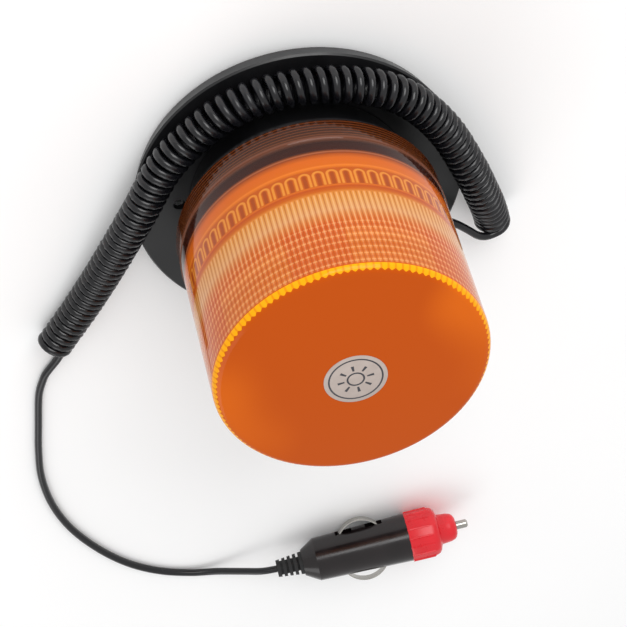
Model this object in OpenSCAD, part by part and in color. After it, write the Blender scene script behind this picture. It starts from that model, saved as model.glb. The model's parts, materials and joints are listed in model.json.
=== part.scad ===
// Amber LED beacon on a magnetic flange base, with a curly cord and an accessory-socket plug.
// Millimetres. +Z runs up the beacon's axis, and the rubber face of the magnet stands on z = 0.

/* [Flange] */
// Diameter of the flange across its upper edge
flange_d = 120; // [112:1:150]
// Height of the flange from its lower edge to its top face
flange_h = 6; // [5:0.5:9]
// Thickness of the flange's top wall
flange_wall = 2.5; // [2:0.1:3]
// Gap between the flange's lower edge and the surface it stands on
flange_gap = 1.5; // [1.2:0.1:2]
// Distance from the neck, or from the magnet's pocket if it is wider, to each mounting hole's centre
mount_out = 3.5; // [3:0.1:8]
// Diameter of each mounting hole
mount_hole_d = 4.5; // [3.5:0.1:5]
// Number of mounting holes
mount_count = 3; // [2:1:6]
// Angle of the first mounting hole
mount_angle = -13; // [-30:1:30]

/* [Magnet] */
// Diameter of the steel magnet cup
cup_d = 75; // [60:0.5:92]
// Thickness of the cup's steel
cup_wall = 1; // [0.8:0.1:1.2]
// Thickness of the rubber pad under the magnet
pad_t = 1.2; // [0.8:0.1:1.4]
// Diameter of the bolt that holds the magnet
bolt_d = 5; // [4:1:6]

/* [Housing] */
// Diameter of the neck that stands on the flange
neck_d = 80; // [66:0.5:84]
// Diameter of the threaded collar inside the lens
collar_d = 86.8; // [72:0.2:105]
// Height at which the housing's lip carries the lens
lip_z = 26.7; // [24:0.1:30]
// Height of the collar's upper rim
collar_top = 45; // [43:0.5:50]
// Thickness of the housing's wall
housing_wall = 2.4; // [2:0.1:2.8]
// Pitch of the collar's thread
thread_pitch = 3; // [2.5:0.1:3]

/* [Lens] */
// Thickness of the lens's wall round the collar
lens_wall = 2.6; // [2.3:0.1:4]
// How much smaller the lens's radius is under its flat cap than at its lower edge
lens_draft = 1.2; // [0.6:0.1:1.6]
// Height of the lens's flat top above the supporting surface
lens_top_z = 100.1; // [84:0.1:122]
// Thickness of the lens's flat cap
cap_t = 2.5; // [2:0.1:3]
// Number of moulded flutes on the lens's inner wall
flutes = 80; // [60:1:90]
// Depth of one flute
flute_depth = 0.9; // [0.5:0.1:1]
// Diameter of the round label
label_d = 21.4; // [16:0.1:30]

/* [Lamp] */
// Distance from the axis to each face of the lamp tower
tower_apothem = 22; // [18:0.5:24]
// Gap between the top diodes and the lens's cap
lamp_headroom = 6.8; // [3:0.1:12]
// Width of one side circuit board
board_w = 23; // [20:0.5:25]
// Thickness of each circuit board
board_t = 1.2; // [1:0.1:1.6]
// Side of one square light-emitting diode
led_w = 5; // [3.5:0.1:5.5]

/* [Cord] */
// Diameter of the cord
cord_d = 3.2; // [3:0.1:3.6]
// Outer diameter of the curly cord's turns
coil_d = 13.5; // [12:0.1:14]
// Height at which the cord leaves the housing
cord_z = 14; // [13:0.5:15]
// Angle at which the cord leaves the housing
cord_angle = 150; // [145:1:155]

/* [Plug] */
// Diameter of the plug's red grip ring
ring_d = 21.8; // [21:0.1:22]
// Diameter of the barrel at its front end
barrel_front_d = 20.6; // [20:0.1:21]
// Diameter of the barrel behind its shoulder
barrel_rear_d = 18.4; // [17.6:0.1:19]
// Length of the barrel
barrel_l = 46.4; // [45:0.1:56]
// Length of the red grip ring
ring_l = 13.5; // [12:0.1:16]
// Length of the nose in front of the ring
nose_l = 7.7; // [6:0.1:9]
// Length of the ribbed strain relief
relief_l = 11.3; // [9:0.1:16]
// Diameter of the centre pin
pin_d = 3.6; // [3:0.1:4]
// How far the centre pin stands out
pin_out = 5.1; // [4:0.1:7]
// How far each side contact stands out of the barrel
contact_out = 4; // [3.2:0.1:4.8]
// Width of each side contact strip
contact_w = 5; // [4:0.1:5.4]

/* [Hidden] */
$fn = 96;

// Clearances: pieces that are assembled once, pieces that run on each other, and cutter overlap.
fit = 0.15;
run = 0.3;
over = 1;

// Heights of the stack, from the floor up.
flange_top = flange_gap + flange_h;
flange_roof = flange_top - flange_wall;
gasket_t = 0.8;
housing_z = flange_top + gasket_t;
flange_r = flange_d / 2;
rim_draft = 1.6;
rim_wall = 2.2;
edge_chamfer = 0.6;

// Magnet.
cup_r = cup_d / 2;
cup_h = flange_roof - pad_t;
groove_h = cup_h - cup_wall;
pocket_r = cup_r + 0.5;
pocket_wall = 1.8;
stiffener_count = 12;
stiffener_t = 1.6;
pole_r = 12;
bolt_r = bolt_d / 2;
bolt_head_r = bolt_r + 2.3;
bolt_head_h = 2.4;
washer_t = 1;
washer_r = 7;
nut_h = 4;
nut_r = bolt_r + 2.1;
bolt_top = flange_top + washer_t + nut_h + 1;
magnet_glue = 0.1;

// Housing, its screw bosses and its ledge.
neck_r = neck_d / 2;
neck_bore_r = neck_r - housing_wall;
collar_r = collar_d / 2;
collar_bore_r = collar_r - housing_wall;
mount_r = max(neck_r, pocket_r + pocket_wall) + mount_out;
rib_h = 1;
rib_t = 1.2;
rib_count = 5;
rib_z = lip_z + 4;
rib_gap = 9;
rib_gap_count = 3;
rib_gap_angle = 210;
lens_bore_r = collar_r + rib_h + 0.7;
lens_foot_r = lens_bore_r + lens_wall;
lens_top_r = lens_foot_r - lens_draft;
lip_r = lens_foot_r - 1.1;
lip_flare_h = 2.4;
deck_t = 1.8;
deck_z = collar_top - deck_t;
ledge_w = 2.6;
ledge_t = 2;
flare_z = 23;
screw_count = 4;
boss_r = 4;
boss_at = neck_bore_r - 3.3;
board_z = 20;
board_r = neck_bore_r - 1.6;
screw_r = 1.5;
screw_head_r = 3;
screw_head_h = 1.2;
base_screw_l = 8;
board_screw_l = 5.5;

// Lens: its lower skirt runs over the collar, and its fluted bore begins above it.
seal_t = 0.8;
lens_z = lip_z + seal_t;
skirt_top = 37;
skirt_step = 0.3;
fluted_z = collar_top + 1.5;
flute_r = lens_bore_r - 0.5;
groove_low_z = 53.6;
groove_high_z = 67;
groove_low_h = 1;
groove_high_h = 1.9;
groove_r = flute_r + 0.2;
bevel = 1.1;
label_t = 0.2;
label_y = 2.8;

// Lamp tower: it rises as far as the lens's cap and its diodes leave room for.
led_h = 1.6;
tower_h = lens_top_z - cap_t - lamp_headroom - led_h - board_t - collar_top;
tower_wall = 2;
tower_foot_r = 32;
tower_foot_t = 1.6;
side_count = 6;
tower_screw_count = 3;
tower_screw_at = tower_foot_r - 3.5;
tower_screw_r = 0.95;
side_board_low = 3.4;
side_board_h = tower_h - side_board_low - 1.6;
side_board_z = collar_top + side_board_low;
led_step_z = 12;
led_rows = max(1, floor((side_board_h - 2) / led_step_z));
led_columns = 2;
led_step_x = 10;
tower_top = collar_top + tower_h;
top_board_r = 24;
top_led_at = 17.5;
top_led_count = 8;
top_screw_at = 9;
top_screw_r = 0.85;
loom_r = 2.2;
loom_hole_r = 5;

// Grommet and the cord inside the housing.
cord_r = cord_d / 2;
grommet_r = 3.1;
grommet_tip = neck_r + 10;
grommet_flange_r = grommet_r + 1.7;
grommet_flange_t = 1.8;
terminal_size = [10, 12, board_z - 12];
terminal_at = board_r - 17;
terminal_hole_at = 2.6;
terminal_hole_r = 1.4;

// Parts on the driver board.
capacitor_at = [[-15, -12], [-4, -20]];
capacitor_r = 5;
capacitor_h = 16;
inductor_at = (board_r - 16.8) * [cos(38.7), sin(38.7)];
inductor_r = 6;
winding_r = 3.5;
chip_at = [18, -8];
chip_size = [8, 6, 1.8];
chip_lift = 0.3;
chip_lead = 0.6;
chip_lead_span = 8.4;
transistor_x = 8 - board_r;
transistor_size = [5, 4, 9];

// Plug, along its own axis: x = 0 at the strain relief's rear face.
plug_at = [55.4, 201.6];
plug_turn = 175.5;
ring_r = ring_d / 2;
barrel_x = relief_l;
shoulder_l = 6;
shoulder_r = 5.6;
barrel_end = barrel_x + barrel_l;
ring_end = barrel_end + ring_l;
nose_end = ring_end + nose_l;
pin_end = nose_end + pin_out;
barrel_bore_r = 7.6;
barrel_floor = 4;
relief_r = [3.6, 4.9];
relief_stem_r = 3;
relief_ribs = 4;
spigot_l = 6.7;
spigot_r = barrel_bore_r - fit;
cap_bore_r = 4.6;
nose_r = [6.4, 5.2];
knurl_count = 16;
pin_r = pin_d / 2;
collar_l = 2;
cap_wall = 2;
pin_collar_x = nose_end - cap_wall - collar_l;
pin_shank_r = pin_r - 0.4;
pin_bevel = 0.6;
pin_tip_r = pin_r - 0.5;
retainer_x = barrel_end - 3.5;
retainer_l = 1.2;
fuse_r = 3;
fuse_cap_l = 6;
fuse_l = 30;
fuse_end = retainer_x - 1.2;
fuse_x = fuse_end - fuse_l;
spring_w = 0.8;
spring_r = fuse_r + 0.4;
spring_l = fuse_x - barrel_x - barrel_floor + 3;
relief_flange_r = relief_stem_r + 1.4;
relief_flange_t = 1.4;
relief_groove = 1;
relief_pitch = 2.4;
knurl_w = 0.9;
knurl_depth = 0.4;
contact_t = 0.5;
contact_x = barrel_end - 20;
contact_roll = 35;
contact_travel = 2.5;
contact_arc_r = 10.7;
contact_depth = contact_out + 3;
slot_in = half_chord(contact_arc_r - contact_t, contact_out - contact_travel - contact_t) - 1.4;
slot_out = half_chord(contact_arc_r, contact_depth) + run;
wall_at_contact = barrel_front_d / 2 - 0.8;

// Route of the short tail that leaves the housing and passes over the flange's edge.
tail_points = [[-43.3, 25, 14], [-47.6, 27.5, 13.9], [-52, 30, 13.2], [-57, 32.8, 11.6], [-61.5, 36.2, 9.6],
    [-64, 39.5, 8.2]];

// Route of the curly stretch: it lies round the neck on the flange, and both ends reach the floor.
coil_points = [[-65.5, 43, 6.8], [-65, 35, 8.2], [-63.4, 23.5, 11.8], [-60.2, 6, 14.4], [-55, -13, 14.4],
    [-47.5, -28, 14.4], [-37, -39.5, 14.4], [-21, -48, 14.4], [-3, -51.8, 14.4], [13, -50.6, 14.4],
    [27.5, -44.5, 14.4], [42, -34.5, 14.5], [56, -18, 14.7], [69, -1, 12.2], [80, 13.5, 9.2],
    [91, 26.5, 7.2], [104.5, 40, 6.8]];

// Route of the straight lead: it leaves the coil, lies on the floor and rises into the plug.
lead_points = [[104.5, 40, 6.8], [108.5, 44.5, 4.6], [112, 50.5, 2.4], [115, 58, 1.7], [118.5, 68, 1.6],
    [123.5, 83, 1.6], [128.5, 99, 1.6], [132, 114, 1.6], [133, 131, 1.6], [130.5, 148.5, 1.6],
    [124, 166, 1.6], [115, 181, 1.6], [104, 192, 1.6], [92, 198.8, 1.8], [81, 201, 3.4],
    [70, 201, 7.4], [62, 201.1, 10.2], [55.4, 201.6, 10.9]];

// Half the width of a circle's cap that is h high.
function half_chord(r, h) = sqrt(r * r - (r - h) * (r - h));

function unit(v) = v / norm(v);
function curve_at(p, i, t) = let (
        a = p[max(i - 1, 0)],
        b = p[i],
        c = p[i + 1],
        d = p[min(i + 2, len(p) - 1)]
    ) (2 * b + (c - a) * t + (2 * a - 5 * b + 4 * c - d) * t * t + (3 * b - a - 3 * c + d) * t * t * t) / 2;
function smooth(p, steps) = concat(
    [for (i = [0 : len(p) - 2]) for (k = [0 : steps - 1]) curve_at(p, i, k / steps)], [p[len(p) - 1]]);
function heading(p, i) = unit(p[min(i + 1, len(p) - 1)] - p[max(i - 1, 0)]);

// A round tube swept along a list of points.
module tube_along(path, r, sides) {
    last = len(path) - 1;
    points = [for (i = [0 : last])
        let (t = heading(path, i), s = unit(cross(t, [0, 0, 1])), u = cross(s, t))
        for (k = [0 : sides - 1]) path[i] + r * (cos(360 * k / sides) * s + sin(360 * k / sides) * u)];
    walls = [for (i = [0 : last - 1]) for (k = [0 : sides - 1])
        let (a = i * sides + k, b = i * sides + (k + 1) % sides)
        each [[a, b, b + sides], [a, b + sides, a + sides]]];
    rear = [[for (k = [sides - 1 : -1 : 0]) k]];
    front = [[for (k = [0 : sides - 1]) last * sides + k]];
    polyhedron(points, concat(rear, walls, front));
}

// Copies its children round the Z axis.
module ring_of(count, radius, start = 0) {
    for (i = [0 : count - 1]) rotate(start + i * 360 / count) translate([radius, 0, 0]) children();
}

// Places children on each of the housing's screw bosses.
module on_bosses() {
    ring_of(screw_count, boss_at, 45) children();
}

// Lays children made along +Z out along the cord's exit direction.
module at_exit() {
    rotate(cord_angle) translate([0, 0, cord_z]) rotate([0, 90, 0]) children();
}

// Places children made along the plug's own +X axis.
module at_plug() {
    translate([plug_at[0], plug_at[1], ring_r]) rotate([0, 0, plug_turn]) children();
}

// Turns children made along +Z onto the plug's +X axis, starting at x.
module along_plug(x = 0) {
    at_plug() translate([x, 0, 0]) rotate([0, 90, 0]) children();
}

module rubber_pad() {
    color("#18181a") difference() {
        cylinder(r = cup_r - fit, h = pad_t);
        translate([0, 0, -over]) cylinder(r = bolt_head_r + 1, h = pad_t + 2 * over);
    }
}

module magnet_cup() {
    color("#b4b6ba") translate([0, 0, pad_t]) difference() {
        cylinder(r = cup_r, h = cup_h);
        translate([0, 0, -over]) difference() {
            cylinder(r = cup_r - cup_wall, h = groove_h + over);
            cylinder(r = pole_r, h = groove_h + over);
        }
        translate([0, 0, -over]) cylinder(r = bolt_r + fit, h = cup_h + 2 * over);
        cylinder(r1 = bolt_head_r + fit, r2 = bolt_r + fit, h = bolt_head_h);
    }
}

module ring_magnet() {
    color("#3a3a3d") translate([0, 0, pad_t + magnet_glue]) difference() {
        cylinder(r = cup_r - cup_wall - fit, h = groove_h - magnet_glue);
        translate([0, 0, -over]) cylinder(r = pole_r + fit, h = groove_h + 2 * over);
    }
}

module magnet_bolt() {
    color("#c8c9cc") translate([0, 0, pad_t]) {
        cylinder(r1 = bolt_head_r, r2 = bolt_r, h = bolt_head_h);
        translate([0, 0, bolt_head_h]) cylinder(r = bolt_r, h = bolt_top - pad_t - bolt_head_h);
    }
}

module magnet_washer() {
    color("#c8c9cc") translate([0, 0, flange_top]) difference() {
        cylinder(r = washer_r, h = washer_t);
        translate([0, 0, -over]) cylinder(r = bolt_r + fit, h = washer_t + 2 * over);
    }
}

module magnet_nut() {
    color("#c8c9cc") translate([0, 0, flange_top + washer_t]) difference() {
        cylinder(r = nut_r, h = nut_h, $fn = 6);
        translate([0, 0, -over]) cylinder(r = bolt_r + 0.05, h = nut_h + 2 * over);
    }
}

module base_flange() {
    foot_r = flange_r - rim_draft;
    color("#1c1c1e") difference() {
        union() {
            rotate_extrude() polygon([
                [bolt_r + fit, flange_roof], [bolt_r + fit, flange_top], [flange_r - edge_chamfer, flange_top],
                [flange_r, flange_top - edge_chamfer], [foot_r, flange_gap], [foot_r - rim_wall, flange_gap],
                [foot_r - rim_wall, flange_roof], [pocket_r + pocket_wall, flange_roof],
                [pocket_r + pocket_wall, flange_gap], [pocket_r, flange_gap], [pocket_r, flange_roof]]);
            intersection() {
                ring_of(stiffener_count, 0, 180 / stiffener_count)
                    translate([pocket_r + 1, -stiffener_t / 2, flange_gap + 1])
                    cube([flange_r, stiffener_t, flange_h - 2]);
                cylinder(r = foot_r - 1, h = flange_top);
            }
        }
        ring_of(mount_count, mount_r, mount_angle) cylinder(d = mount_hole_d, h = flange_top + over);
        on_bosses() {
            cylinder(r = screw_r + 0.2, h = flange_top + over);
            cylinder(r = screw_head_r + 0.3, h = flange_roof + screw_head_h);
        }
    }
}

module base_screws() {
    color("#8d8f94") on_bosses() translate([0, 0, flange_roof]) {
        cylinder(r = screw_head_r, h = screw_head_h);
        cylinder(r = screw_r, h = screw_head_h + base_screw_l);
    }
}

module base_gasket() {
    color("#2b2b2d") translate([0, 0, flange_top]) difference() {
        cylinder(r = neck_r - 0.3, h = gasket_t);
        translate([0, 0, -over]) cylinder(r = neck_bore_r + 0.1, h = gasket_t + 2 * over);
        on_bosses() cylinder(r = boss_r + 0.4, h = 3 * over, center = true);
    }
}

module base_housing() {
    color("#1c1c1e") difference() {
        union() {
            rotate_extrude() polygon([
                [neck_bore_r, housing_z], [neck_r, housing_z], [neck_r, flare_z], [lip_r, flare_z + lip_flare_h],
                [lip_r, lip_z], [collar_r, lip_z], [collar_r, collar_top], [collar_bore_r, collar_top],
                [collar_bore_r, deck_z], [collar_bore_r - ledge_w, deck_z],
                [collar_bore_r - ledge_w, deck_z - ledge_t], [collar_bore_r, deck_z - ledge_t - ledge_w],
                [collar_bore_r, flare_z + lip_flare_h + 1], [neck_bore_r, flare_z]]);
            difference() {
                for (i = [0 : rib_count - 1]) translate([0, 0, rib_z + i * thread_pitch]) difference() {
                    cylinder(r = collar_r + rib_h, h = rib_t, center = true);
                    cylinder(r = collar_r - 1, h = 2 * rib_t, center = true);
                }
                ring_of(rib_gap_count, collar_r, rib_gap_angle) translate([0, -rib_gap / 2, lip_z])
                    translate([-rib_gap / 2, 0, 0]) cube([rib_gap, rib_gap, collar_top]);
            }
            on_bosses() translate([0, 0, flange_top]) cylinder(r = boss_r, h = board_z - flange_top);
        }
        on_bosses() {
            cylinder(r = screw_r + 0.05, h = flange_roof + screw_head_h + base_screw_l + 0.2);
            translate([0, 0, board_z - board_screw_l - 0.2]) cylinder(r = screw_r + 0.05, h = board_z);
        }
        at_exit() translate([0, 0, neck_bore_r - 5]) cylinder(r = grommet_r + 0.1, h = 10);
    }
}

module cable_grommet() {
    color("#202022") at_exit() difference() {
        union() {
            translate([0, 0, neck_bore_r - 1.6]) cylinder(r = grommet_r + 1.3, h = 1.2);
            translate([0, 0, neck_bore_r - 0.6]) cylinder(r = grommet_r, h = housing_wall + 1);
            translate([0, 0, neck_r + 0.02]) cylinder(r = grommet_flange_r, h = grommet_flange_t);
            translate([0, 0, neck_r + 1]) cylinder(r1 = grommet_r, r2 = cord_r + 0.7, h = grommet_tip - neck_r - 1);
        }
        translate([0, 0, neck_bore_r - 5]) cylinder(r = cord_r + 0.05, h = 30);
    }
}

module inner_cable() {
    color("#202022") at_exit() translate([0, 0, terminal_at + terminal_size[0] / 2])
        cylinder(r = cord_r, h = grommet_tip - terminal_at - terminal_size[0] / 2);
}

module wire_terminal() {
    color("#3f7d45") rotate(cord_angle) translate([terminal_at, 0, board_z - terminal_size[2] / 2])
        difference() {
            cube(terminal_size, center = true);
            for (side = [-1, 1]) translate([-terminal_size[0] / 2 + 1.5, side * terminal_hole_at, 0])
                rotate([0, -90, 0]) cylinder(r = terminal_hole_r, h = 6);
        }
}

module driver_board() {
    color("#1f6b3a") translate([0, 0, board_z]) difference() {
        cylinder(r = board_r, h = board_t);
        on_bosses() cylinder(r = screw_r + 0.2, h = 3 * over, center = true);
    }
}

module board_screws() {
    color("#8d8f94") on_bosses() translate([0, 0, board_z + board_t]) {
        cylinder(r = screw_head_r, h = 2);
        translate([0, 0, -board_screw_l - board_t]) cylinder(r = screw_r, h = board_screw_l + board_t + 1);
    }
}

module capacitors() {
    color("#2c3c6e") for (p = capacitor_at)
        translate([p[0], p[1], board_z + board_t]) cylinder(r = capacitor_r, h = capacitor_h);
}

module inductor() {
    color("#a8602c") translate([inductor_at[0], inductor_at[1], board_z + board_t]) rotate_extrude()
        translate([inductor_r, winding_r]) circle(r = winding_r, $fn = 32);
}

module controller_chip() {
    color("#232326") translate([chip_at[0], chip_at[1], board_z + board_t]) {
        translate([-chip_size[0] / 2, -chip_size[1] / 2, chip_lift]) cube(chip_size);
        for (x = [-3 : 2 : 3]) translate([x - chip_lead / 2, -chip_lead_span / 2, 0])
            cube([chip_lead, chip_lead_span, chip_lead]);
    }
}

module power_transistors() {
    color("#232326") for (y = [-6, 0, 6])
        translate([transistor_x - 2, y - transistor_size[1] / 2, board_z + board_t]) cube(transistor_size);
}

module lamp_wires() {
    color("#a8332a") translate([0, 0, board_z + board_t]) cylinder(r = loom_r, h = tower_top - board_z - board_t);
}

// Places children on each screw of the tower's foot.
module on_tower_foot() {
    ring_of(tower_screw_count, tower_screw_at, 30) children();
}

// Places children on each screw of the tower's top.
module on_tower_top() {
    ring_of(tower_screw_count, top_screw_at, 90) children();
}

module lamp_deck() {
    color("#e9e7df") translate([0, 0, deck_z]) difference() {
        cylinder(r = collar_bore_r - fit, h = deck_t);
        translate([0, 0, -over]) cylinder(r = loom_hole_r, h = deck_t + 2 * over);
        on_tower_foot() cylinder(r = tower_screw_r + 0.05, h = 3 * deck_t, center = true);
    }
}

module lamp_tower() {
    hex_r = (tower_apothem - board_t) / cos(30);
    color("#ecebe6") translate([0, 0, collar_top]) difference() {
        union() {
            cylinder(r = tower_foot_r, h = tower_foot_t);
            cylinder(r = hex_r, h = tower_h, $fn = 6);
        }
        translate([0, 0, -over]) cylinder(r = hex_r - tower_wall / cos(30), h = tower_h + over - tower_wall, $fn = 6);
        cylinder(r = loom_r + 0.2, h = tower_h + over);
        on_tower_foot() cylinder(r = tower_screw_r + 0.25, h = 6 * tower_foot_t, center = true);
        on_tower_top() translate([0, 0, tower_h - tower_wall - over])
            cylinder(r = top_screw_r + 0.05, h = 2 * tower_wall);
    }
}

module tower_screws() {
    color("#c8c9cc") on_tower_foot() translate([0, 0, collar_top + tower_foot_t]) {
        cylinder(r = 2, h = 1.4);
        translate([0, 0, -tower_foot_t - deck_t]) cylinder(r = tower_screw_r, h = tower_foot_t + deck_t + 0.5);
    }
}

// Places children against each face of the tower, with +X outwards.
module on_tower_faces() {
    for (i = [0 : side_count - 1]) rotate(30 + i * 60) translate([tower_apothem - board_t, 0, 0]) children();
}

module side_boards() {
    color("#e4e6e2") on_tower_faces() translate([0, -board_w / 2, side_board_z])
        cube([board_t, board_w, side_board_h]);
}

module side_leds() {
    color("#f4d35a") on_tower_faces() for (row = [0 : led_rows - 1], column = [0 : led_columns - 1])
        translate([board_t, (column - 0.5) * led_step_x - led_w / 2,
            side_board_z + side_board_h / 2 + (row - (led_rows - 1) / 2) * led_step_z - led_w / 2])
            cube([led_h, led_w, led_w]);
}

module top_board() {
    color("#e4e6e2") translate([0, 0, tower_top]) difference() {
        cylinder(r = top_board_r, h = board_t);
        on_tower_top() cylinder(r = top_screw_r + 0.25, h = 3 * board_t, center = true);
    }
}

module top_board_screws() {
    color("#c8c9cc") on_tower_top() translate([0, 0, tower_top + board_t]) {
        cylinder(r = 1.8, h = 1.2);
        translate([0, 0, -board_t - tower_wall + 0.2]) cylinder(r = top_screw_r, h = board_t + tower_wall);
    }
}

module top_leds() {
    color("#f4d35a") translate([0, 0, tower_top + board_t + led_h / 2]) {
        ring_of(top_led_count, top_led_at, 180 / top_led_count) cube([led_w, led_w, led_h], center = true);
        cube([led_w, led_w, led_h], center = true);
    }
}

module lens_seal() {
    color("#262628") translate([0, 0, lip_z]) difference() {
        cylinder(r = lip_r - 0.2, h = seal_t);
        translate([0, 0, -over]) cylinder(r = collar_r + rib_h + run, h = seal_t + 2 * over);
    }
}

// The fluted bore, as a star-shaped prism.
module fluted_bore() {
    star = [for (i = [0 : 2 * flutes - 1])
        (flute_r - (i % 2) * flute_depth) * [cos(180 * i / flutes), sin(180 * i / flutes)]];
    translate([0, 0, fluted_z]) linear_extrude(lens_top_z - cap_t - fluted_z) polygon(star);
}

module outer_lens() {
    color("#e8720c") difference() {
        rotate_extrude() polygon([
            [0, lens_z], [lens_foot_r, lens_z], [lens_foot_r, skirt_top],
            [lens_foot_r - skirt_step, skirt_top + skirt_step], [lens_top_r, lens_top_z - bevel],
            [lens_top_r - bevel, lens_top_z], [0, lens_top_z]]);
        translate([0, 0, lens_z - over]) cylinder(r = lens_bore_r, h = fluted_z - lens_z + over);
        fluted_bore();
        translate([0, 0, groove_low_z]) cylinder(r = groove_r, h = groove_low_h);
        translate([0, 0, groove_high_z]) cylinder(r = groove_r, h = groove_high_h);
    }
}

module lens_label() {
    color("#d3d1ca") translate([0, label_y, lens_top_z]) cylinder(d = label_d, h = label_t);
}

module cord_tail() {
    color("#1b1b1d") tube_along(smooth(tail_points, 2), cord_r, 8);
}

module cord_coil() {
    color("#1b1b1d") tube_along(smooth(coil_points, 2), coil_d / 2, 12);
}

module cord_lead() {
    color("#1b1b1d") tube_along(smooth(lead_points, 2), cord_r, 8);
}

module plug_relief() {
    color("#222224") along_plug() difference() {
        union() {
            cylinder(r1 = relief_r[0], r2 = relief_r[1], h = relief_l);
            cylinder(r = relief_stem_r, h = relief_l + barrel_floor);
            translate([0, 0, relief_l + barrel_floor]) cylinder(r = relief_flange_r, h = relief_flange_t);
        }
        for (i = [0 : relief_ribs - 1]) translate([0, 0, 1.6 + i * relief_pitch]) difference() {
            cylinder(r = relief_r[1] + over, h = relief_groove);
            cylinder(r = relief_stem_r, h = relief_groove);
        }
    }
}

// One leaf's pair of slots through the barrel's wall.
module contact_slots() {
    for (side = [-1, 1]) translate([contact_x + side * (slot_in + slot_out) / 2, 0, 0])
        cube([slot_out - slot_in, contact_w + 2 * run, 30], center = true);
}

module plug_barrel() {
    color("#1c1a1b") difference() {
        along_plug(barrel_x) difference() {
            union() {
                cylinder(r1 = shoulder_r, r2 = barrel_rear_d / 2, h = shoulder_l);
                translate([0, 0, shoulder_l])
                    cylinder(r1 = barrel_rear_d / 2, r2 = barrel_front_d / 2, h = barrel_l - shoulder_l);
            }
            translate([0, 0, barrel_floor + 2]) cylinder(r = barrel_bore_r, h = barrel_l);
            translate([0, 0, barrel_floor - over]) cylinder(r = relief_flange_r + 0.2, h = barrel_l);
            translate([0, 0, -over]) cylinder(r = relief_stem_r + 0.05, h = barrel_floor + 2 * over);
        }
        at_plug() rotate([90 - contact_roll, 0, 0]) contact_slots();
    }
}

module nose_cap() {
    color("#d8202a") along_plug(barrel_end) difference() {
        union() {
            translate([0, 0, -spigot_l]) cylinder(r = spigot_r, h = spigot_l + over);
            difference() {
                rotate_extrude() polygon([[0, 0], [ring_r - 0.5, 0], [ring_r, 0.5], [ring_r, ring_l - 3],
                    [ring_r - 0.8, ring_l - 1.2], [ring_r - 2.4, ring_l], [0, ring_l]]);
                ring_of(knurl_count, ring_r) translate([0, 0, ring_l / 2 - 1.6])
                    cube([2 * knurl_depth, knurl_w, ring_l - 3.4], center = true);
            }
            translate([0, 0, ring_l - over]) cylinder(r1 = nose_r[0], r2 = nose_r[1], h = nose_l);
            translate([0, 0, ring_l + nose_l - over]) cylinder(r1 = nose_r[1], r2 = nose_r[1] - 1, h = over);
        }
        translate([0, 0, -spigot_l - over]) cylinder(r = cap_bore_r, h = spigot_l + ring_l + nose_l + over - cap_wall);
        cylinder(r = pin_r + 0.08, h = 2 * (ring_l + nose_l));
    }
}

module pin_retainer() {
    color("#c8c9cc") along_plug(retainer_x) difference() {
        cylinder(r = cap_bore_r - 0.1, h = retainer_l);
        translate([0, 0, -over]) cylinder(r = fuse_r + run, h = retainer_l + 2 * over);
    }
}

module center_pin() {
    color("#cfd0d3") along_plug() rotate_extrude() polygon([
        [0, fuse_end], [fuse_r - 0.4, fuse_end], [fuse_r - 0.4, pin_collar_x],
        [cap_bore_r - 0.4, pin_collar_x], [cap_bore_r - 0.4, pin_collar_x + collar_l],
        [pin_shank_r, pin_collar_x + collar_l], [pin_shank_r, nose_end + run], [pin_r, nose_end + run],
        [pin_r, pin_end - pin_bevel], [pin_tip_r, pin_end], [0, pin_end]]);
}

module fuse_glass() {
    color("#d8e2e2") along_plug(fuse_x + fuse_cap_l) cylinder(r = fuse_r - 0.35, h = fuse_l - 2 * fuse_cap_l);
}

module fuse_caps() {
    color("#d0d1d3") for (x = [fuse_x, fuse_end - fuse_cap_l]) along_plug(x) cylinder(r = fuse_r, h = fuse_cap_l);
}

module fuse_spring() {
    color("#b9babd") along_plug(barrel_x + barrel_floor + 1.5) difference() {
        cylinder(r = spring_r + spring_w, h = spring_l);
        translate([0, 0, -over]) cylinder(r = spring_r, h = spring_l + 2 * over);
    }
}

// A sprung strip bowed out of the barrel; its legs end inside the slots.
module contact_strip() {
    arc_z = wall_at_contact + contact_out - contact_arc_r;
    intersection() {
        translate([contact_x, 0, arc_z]) rotate([90, 0, 0]) difference() {
            cylinder(r = contact_arc_r, h = contact_w, center = true);
            cylinder(r = contact_arc_r - contact_t, h = contact_w + over, center = true);
        }
        translate([contact_x - 15, -contact_w, wall_at_contact + contact_out - contact_depth])
            cube([30, 2 * contact_w, contact_depth + over]);
    }
}

module side_contact_left() {
    color("#cfd0d3") at_plug() rotate([90 - contact_roll, 0, 0]) contact_strip();
}

module side_contact_right() {
    color("#cfd0d3") at_plug() rotate([270 - contact_roll, 0, 0]) contact_strip();
}

rubber_pad();
magnet_cup();
ring_magnet();
magnet_bolt();
magnet_washer();
magnet_nut();
base_flange();
base_screws();
base_gasket();
base_housing();
cable_grommet();
inner_cable();
wire_terminal();
driver_board();
board_screws();
capacitors();
inductor();
controller_chip();
power_transistors();
lamp_wires();
lamp_deck();
lamp_tower();
tower_screws();
side_boards();
side_leds();
top_board();
top_board_screws();
top_leds();
lens_seal();
outer_lens();
lens_label();
cord_tail();
cord_coil();
cord_lead();
plug_relief();
plug_barrel();
nose_cap();
pin_retainer();
center_pin();
fuse_glass();
fuse_caps();
fuse_spring();
side_contact_left();
side_contact_right();
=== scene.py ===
# %% [markdown]
# # Amber beacon on a magnetic base
# A beacon of this kind is a fluted amber dome screwed onto a black collar, a flange that holds a
# magnet, and a curly cord that ends in an accessory-socket plug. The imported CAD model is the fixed
# frame: each piece made here takes its place from it, and rides on the body that it belongs to.

import json
import math

import bmesh
import bpy
from mathutils import Matrix, Vector


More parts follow.
